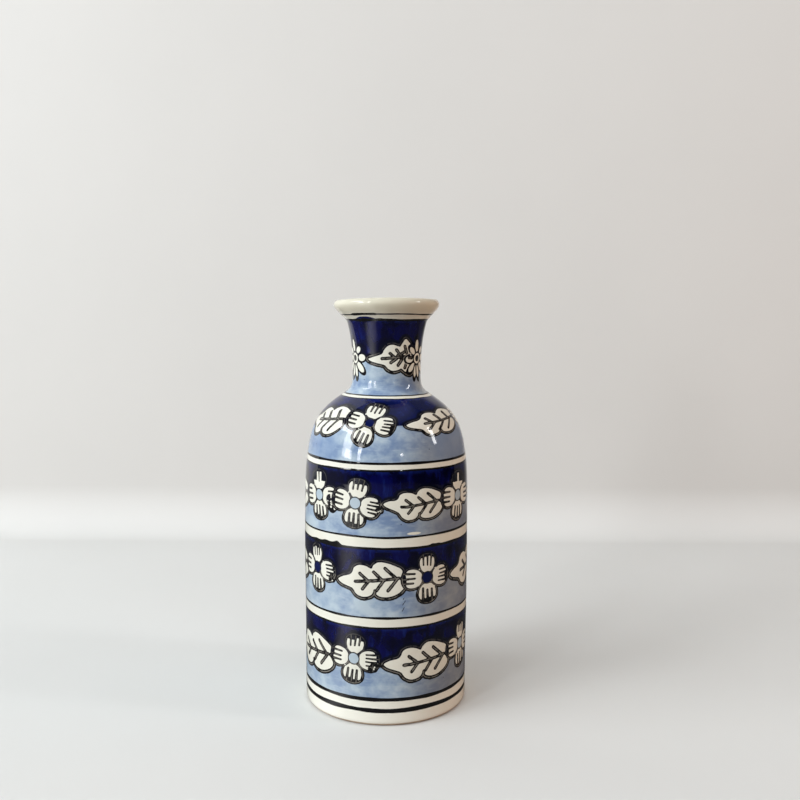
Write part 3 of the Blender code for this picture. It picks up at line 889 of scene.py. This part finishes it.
def pale_color(n, shift):
    """A watery wash with cloudy pools and faint brush strokes.

    Painted light lightens its left side; painted shade greys its right and darkens the shoulder's and neck's
    sides.
    """
    clouds = n.noise(n.millimetres((1.0, 1.0, 1.3), shift), 0.060, 4.0, 0.58)
    strokes = n.noise(n.millimetres((0.5, 0.5, 2.6), shift + 3.0), 0.24, 3.0, 0.6)
    color = n.blend(n.step(clouds, 0.36, 0.54), PALE_DEEP, PALE)
    color = n.blend(n.times(n.step(clouds, 0.50, 0.66), 0.85), color, PALE_LIGHT)
    color = n.blend(n.times(n.step(strokes, 0.50, 0.76), 0.40), color, PALE_LIGHT)
    across = n.times(n.position("X"), 1.0 / (BODY_RADIUS * MM))
    above = n.step(n.position("Z"), 146.0 * MM, 160.0 * MM)
    below = n.minus(1.0, above)
    # Painted light: a lighter left side below the shoulder
    painted_light_left = n.times(n.within(across, -0.85, -0.25), n.times(below, 0.38))
    # Painted shade: a deeper blue at the two sides above the shoulder
    side = n.step(n.math("ABSOLUTE", across), 0.45, 0.65)
    painted_shade_sides = n.times(side, n.times(above, 0.60))
    # Painted shade: a greyer right side
    painted_shade_right = n.times(n.step(across, 0.05, 0.75), 0.6)
    color = n.blend(painted_light_left, color, PALE_LIGHT)
    color = n.blend(painted_shade_right, color, PALE_PAINTED_SHADE)
    return n.blend(painted_shade_sides, color, PALE_DEEP)


def cream_color(n):
    """A warm white, whiter at the foot by painted light and greyer on the lip by painted shade."""
    uneven = n.noise(n.millimetres(), 0.07, 3.0)
    color = n.blend(n.times(n.step(uneven, 0.45, 0.75), 0.35), CREAM, CREAM_DEEP)
    height = n.position("Z")
    # Painted light: whiter at the foot
    color = n.blend(n.within(height, 6.0 * MM, 30.0 * MM), color, CREAM_FOOT_PAINTED_LIGHT)
    # Painted shade: greyer on the lip
    return n.blend(n.step(height, 237.0 * MM, 244.0 * MM), color, CREAM_LIP_PAINTED_SHADE)


def painted_glaze(name, eye_color, shift, thinness_and_sheen=0.0):
    """The painted outside: colours from the stored distances, under one glossy glaze."""
    material, n, surface = start_material(name)
    hand = n.minus(n.noise(n.millimetres(), 0.45, 2.0), 0.5)
    ink, cream, stroke, ring = (n.plus(n.field(key), n.times(hand, wobble)) for key, wobble in HAND_WOBBLE)
    cobalt = n.step(n.field("cobalt"), -0.35, 0.35)
    zone = n.step(n.field("zone"), -0.15, 0.15)

    pale = n.blend(n.specks(3.2, 0.12, 0.12), pale_color(n, shift), COBALT)
    thin_edge = n.times(n.within(n.field("zone"), 0.8, 3.0), 0.5)
    thin_edge = n.times(thin_edge, n.worn_places())
    deep = n.blend(thin_edge, cobalt_color(n, shift, thinness_and_sheen), COBALT_BRIGHT)
    ground = n.blend(cobalt, pale, deep)
    pooled = n.times(n.within(ink, 1.15, 2.3), n.times(cobalt, 0.85))
    ground = n.blend(pooled, ground, INK_IN_COBALT)
    glaze = n.blend(n.specks(5.0, 0.14, 0.035), cream_color(n), CORE)
    color = n.blend(zone, glaze, ground)
    dark = n.blend(cobalt, INK, INK_IN_COBALT)
    color = n.blend(n.within(ink, 0.90, 1.10), color, dark)
    color = n.blend(n.within(cream, -0.08, 0.08), color, cream_color(n))
    color = n.blend(n.within(stroke, 0.88, 1.12), color, INK)
    shown = n.minus(1.0, n.times(cobalt, 0.7))
    outline_core = n.times(n.within(n.field("core"), 0.13, 0.35), shown)
    stroke_core = n.within(stroke, 0.17, 0.42)
    core = n.times(n.math("MAXIMUM", outline_core, stroke_core), n.worn_places())
    color = n.blend(core, color, CORE)
    color = n.blend(n.within(n.field("eye"), -0.08, 0.08), color, eye_color)
    color = n.blend(n.within(ring, 0.88, 1.12), color, INK)
    n.link(color, surface.inputs["Base Color"])

    dull = n.times(core, 0.22)
    n.link(n.plus(dull, GLAZE_ROUGHNESS), surface.inputs["Roughness"])
    add_glaze_bump(n, surface)
    return material


def add_glaze_bump(n, surface):
    """The faint orange peel of a fired glaze."""
    peel = n.noise(n.millimetres(), 0.25, 1.0)
    bump = n.node("ShaderNodeBump", {"Height": peel, "Strength": 0.04, "Distance": 0.05 * MM})
    n.link(bump.outputs["Normal"], surface.inputs["Normal"])


def plain_glaze(name):
    """Unpainted cream glaze with pinholes, for the inside and the base."""
    material, n, surface = start_material(name)
    color = n.blend(n.specks(5.0, 0.2, 0.05), cream_color(n), CLAY_DARK)
    n.link(color, surface.inputs["Base Color"])
    surface.inputs["Roughness"].default_value = 0.10
    add_glaze_bump(n, surface)
    return material


def bare_clay(name):
    """Fired clay without glaze: matt, slightly sandy, darker where it has rubbed on tables."""
    material, n, surface = start_material(name)
    patches = n.noise(n.millimetres(), 0.10, 4.0, 0.6)
    grit = n.noise(n.millimetres(), 2.2, 3.0, 0.7)
    color = n.blend(n.step(patches, 0.35, 0.70), CLAY, CLAY_DARK)
    color = n.blend(n.times(n.step(grit, 0.62, 0.75), 0.5), color, CLAY_DARK)
    n.link(color, surface.inputs["Base Color"])
    surface.inputs["Roughness"].default_value = 0.82
    bump = n.node("ShaderNodeBump", {"Height": grit, "Strength": 0.6, "Distance": 0.12 * MM})
    n.link(bump.outputs["Normal"], surface.inputs["Normal"])
    return material


# The pieces

def build_outside():
    low_seam, middle_seam, high_seam = FOOT_SEAMS
    stripes = (
        ("foot_glaze_shell", outside_station(BARE_FOOT_TOP + 0.1), low_seam, "foot_glaze"),
        ("lower_foot_line_shell", low_seam, middle_seam, "lower_foot_line"),
        ("foot_stripe_shell", middle_seam, high_seam, "foot_stripe_glaze"),
        ("upper_foot_line_shell", high_seam, UPPER_FOOT_LINE[0], "upper_foot_line"),
        ("middle_stripe_shell", LOWER_TOP[0], MIDDLE_BASE[0], "middle_stripe_glaze"),
        ("upper_stripe_shell", MIDDLE_TOP[0], UPPER_BASE[0], "upper_stripe_glaze"),
        ("shoulder_stripe_shell", UPPER_TOP[0], SHOULDER_BASE[0], "shoulder_stripe_glaze"),
        ("neck_stripe_shell", SHOULDER_TOP[0], NECK_BASE[0], "neck_stripe_glaze"),
        ("collar_shell", NECK_TOP[0], UNDER_LIP[0], "collar_glaze"),
        ("lip_shell", UNDER_LIP[0], inside_station(LIP_BOTTOM), "lip_glaze"),
    )
    ring_glaze = painted_glaze("ring_glaze", COBALT_EYE, 0.0)
    for name, start, end, node in stripes:
        glaze_shell(name, start, end, None, (node,), ring_glaze)
    for number, (zone, (low, high, _)) in enumerate(ZONES.items()):
        nodes = (f"{zone}_cobalt_glaze", f"{zone}_pale_blue_glaze", f"{zone}_garland")
        eye_color = PALE_EYE if zone in ("lower", "upper") else COBALT_EYE
        thinness_and_sheen = SHOULDER_THINNESS_AND_SHEEN if zone == "shoulder" else 0.0
        glaze = painted_glaze(f"{zone}_painted_glaze", eye_color, 20.0 * number, thinness_and_sheen)
        glaze_shell(f"{zone}_painted_shell", low, high, zone, nodes, glaze)


def build_inside():
    glaze = plain_glaze("lining_glaze")
    face = sunk_profile(inside_station(LIP_BOTTOM), LENGTHS[-1], 0.0, 1.1)
    back = sunk_profile(inside_station(LIP_BOTTOM), LENGTHS[-1], GLAZE, 2.6)
    face[-1] = (0.0, face[-1][1])
    back[-1] = (0.0, back[-1][1])
    lathe("lining_shell", back[::-1] + face, ("inner_glaze",), glaze)
    radius = RECESS_RADIUS - 1.0
    low, high = RECESS_DEPTH - 0.5, RECESS_DEPTH - 0.02
    disc = [(0.0, low), (radius - 0.4, low), (radius - 0.1, low + 0.12), (radius, low + 0.3),
            (radius, high), (0.0, high)]
    lathe("base_glaze_disc", disc, ("base_glaze",), glaze)


def build_clay():
    """The clay body: bare at the foot, sunk under the glaze everywhere else."""
    foot_top = outside_station(BARE_FOOT_TOP)
    profile = [(0.0, RECESS_DEPTH), (RECESS_RADIUS - 0.6, RECESS_DEPTH),
               (RECESS_RADIUS - 0.1, RECESS_DEPTH - 0.2), (RECESS_RADIUS + 0.2, 1.6),
               (RECESS_RADIUS + 0.6, 0.5), (REST_INNER - 0.3, 0.08), (REST_INNER, 0.0)]
    profile += sunk_profile(0.0, foot_top, 0.0, 0.25)
    profile += sunk_profile(foot_top + 0.1, LENGTHS[-1], CLAY_SINK, 1.6)
    profile[-1] = (0.0, profile[-1][1])
    lathe("clay_shell", profile, ("clay_body",), bare_clay("bare_clay"))


# Stage, light and camera, in metres

BLACK = (0.01, 0.01, 0.01, 1.0)
WHITE = (1.0, 1.0, 1.0, 1.0)
# The floor as the camera sees it in two shades, and the brown of a table that it lends to bounced light
FLOOR_SHADES = ((0.66, 0.69, 0.69, 1.0), (0.70, 0.73, 0.73, 1.0))
TABLE_BROWN = (0.22, 0.14, 0.08, 1.0)
# Where the sheen on the floor starts, peaks and ends, in degrees to the right of the camera
SHEEN_AZIMUTHS = (-69.0, -49.0, -26.0)
# The room as the camera sees it, as soft light from the left and right, and as the glaze mirrors it
ROOM_SEEN = (0.68, 0.69, 0.68, 1.0)
SOFT_LEFT, SOFT_RIGHT = (0.27, 0.28, 0.29, 1.0), (0.16, 0.095, 0.055, 1.0)
ROOM_MIRRORED, LEFT_MIRRORED = (0.008, 0.008, 0.010, 1.0), (0.20, 0.21, 0.24, 1.0)
CEILING_MIRRORED = (0.42, 0.43, 0.46, 1.0)

DAY = (1.0, 1.0, 1.0)
WARM = (1.0, 0.42, 0.15)
# For each light: name, azimuth to the right of the camera, elevation, distance, width and height in degrees
# as seen from the vase, radiance and, unless it's mirrored daylight, colour and whether the glaze mirrors it
LIGHTS = (
    ("window_pane", -58, 20, 2.5, (14, 29), 6.5),
    ("window_pane_low", -54, 9, 2.4, (11, 8), 8.5),
    ("second_pane", -38, 24, 2.5, (5, 26), 7),
    ("second_pane_low", -38, 10, 2.4, (4, 9), 10),
    ("window_top", -76, 36, 2.5, (28, 8), 9),
    ("slit", 78, 25, 2, (5.6, 22), 14),
    ("lamp", 22, 11, 2, (2.2, 2.2), 22),
    ("soft_left", -58, 26, 2.2, (50, 36), 2.55, DAY, False),
    ("soft_top", 0, 62, 2.2, (50, 36), 1, DAY, False),
    ("warm_right", 85, 6, 2, (50, 40), 1.2, WARM, False),
)
LIT_HEIGHT = 0.17

CAMERA_PLACE = (0.00832, -0.561, 0.2445)
CAMERA_TILT = -5.79
CAMERA_ROLL = 0.27
CAMERA_LENS = 40.86


def build_stage():
    """A pale floor that turns up into a pale wall behind the vase."""
    half_width, front, wall, bend, height = 1.15, -1.6, 0.42, 0.05, 1.6
    steps = 12
    outline = [(front, 0.0), (0.0, 0.0)]
    for number in range(steps + 1):
        angle = 0.5 * pi * number / steps
        outline.append((wall - bend + bend * sin(angle), bend - bend * cos(angle)))
    outline.append((wall, height))
    places = np.array([(x, y, z) for y, z in outline for x in (-half_width, half_width)])
    quads = np.array([(2 * i, 2 * i + 1, 2 * i + 3, 2 * i + 2) for i in range(len(outline) - 1)])
    floor = mesh_object("pale_floor", places, [quads], 80.0)
    floor.data.materials.append(floor_paint("pale_floor_paint"))


def floor_paint(name):
    """Pale to the camera, brown to bounced light, and dark to mirror rays but for a lit sector."""
    material, n, surface = start_material(name)
    place = n.node("ShaderNodeTexCoord").outputs["Object"]
    parts = n.node("ShaderNodeSeparateXYZ", {0: place}).outputs
    rays = n.node("ShaderNodeLightPath").outputs
    seen = n.blend(n.noise(place, 6.0, 3.0), *FLOOR_SHADES)
    level = n.within(parts["Z"], 0.0, 0.05)
    bounced = n.times(rays["Is Diffuse Ray"], level)
    color = n.blend(n.times(bounced, 0.72), seen, TABLE_BROWN)
    right = n.step(parts["X"], 0.12, 0.40)
    dark = n.math("MAXIMUM", n.times(level, 0.9), n.times(right, 0.80))
    mirrored = n.times(rays["Is Glossy Ray"], dark)
    sheen = n.blend(n.times(level, sheen_sector(n, parts)), BLACK, WHITE)
    n.link(n.blend(mirrored, color, sheen), surface.inputs["Base Color"])
    surface.inputs["Roughness"].default_value = 0.7
    surface.inputs["Specular IOR Level"].default_value = 0.2
    return material


def sheen_sector(n, parts):
    """The lit part of the floor that the vase's left side mirrors as an upright band."""
    azimuth = n.math("ARCTAN2", parts["X"], n.times(parts["Y"], -1.0))
    left, middle, right = (radians(angle) for angle in SHEEN_AZIMUTHS)
    return n.times(n.step(azimuth, left, middle), n.within(azimuth, middle, right))


def add_area_light(name, azimuth, elevation, distance, spread, radiance, color=DAY, mirrored=True):
    """A rectangular light that faces the vase."""
    light = bpy.data.lights.new(name, "AREA")
    light.shape = "RECTANGLE"
    light.size, light.size_y = (2 * distance * tan(radians(0.5 * side)) for side in spread)
    light.energy = radiance * pi * light.size * light.size_y
    light.color = color
    lamp = bpy.data.objects.new(name, light)
    away = Matrix.Rotation(radians(azimuth), 4, "Z") @ Matrix.Rotation(-radians(elevation), 4, "X")
    middle = Matrix.Translation((0, 0, LIT_HEIGHT))
    upright = Matrix.Rotation(radians(90), 4, "X")
    lamp.matrix_world = middle @ away @ Matrix.Translation((0, -distance, 0)) @ upright
    lamp.visible_glossy = mirrored
    bpy.context.scene.collection.objects.link(lamp)


def build_light():
    """A two-pane window on the left, a slit of light on the right, a lamp, and light not mirrored."""
    for light in LIGHTS:
        add_area_light(*light)
    build_world()
    bpy.context.scene.view_settings.view_transform = "Standard"


def build_world():
    """A pale room to the eye and to soft light. The glaze mirrors it dark but for its left and ceiling."""
    world = bpy.data.worlds.new("studio")
    world.use_nodes = True
    n = Nodes(world.node_tree)
    rays = n.node("ShaderNodeLightPath").outputs
    direction = n.node("ShaderNodeTexCoord").outputs["Generated"]
    parts = n.node("ShaderNodeSeparateXYZ", {0: direction}).outputs
    soft = n.blend(n.step(parts["X"], -0.6, 0.9), SOFT_LEFT, SOFT_RIGHT)
    mirrored = n.blend(n.within(parts["X"], -0.98, -0.62), ROOM_MIRRORED, LEFT_MIRRORED)
    mirrored = n.blend(n.step(parts["Z"], 0.80, 0.97), mirrored, CEILING_MIRRORED)
    color = n.blend(rays["Is Glossy Ray"], soft, mirrored)
    color = n.blend(rays["Is Camera Ray"], color, ROOM_SEEN)
    n.link(color, world.node_tree.nodes["Background"].inputs["Color"])
    bpy.context.scene.world = world


def build_camera():
    """At eye height for a seated person, looking slightly down on the vase."""
    camera = bpy.data.cameras.new("camera")
    camera.sensor_width = 36.0
    camera.lens = CAMERA_LENS
    camera.clip_start = 0.01
    view = bpy.data.objects.new("camera", camera)
    view.matrix_world = (Matrix.Translation(CAMERA_PLACE)
                         @ Matrix.Rotation(radians(90.0 + CAMERA_TILT), 4, "X")
                         @ Matrix.Rotation(radians(CAMERA_ROLL), 4, "Z"))
    bpy.context.scene.collection.objects.link(view)
    bpy.context.scene.camera = view


build_outside()
build_inside()
build_clay()
build_stage()
build_light()
build_camera()
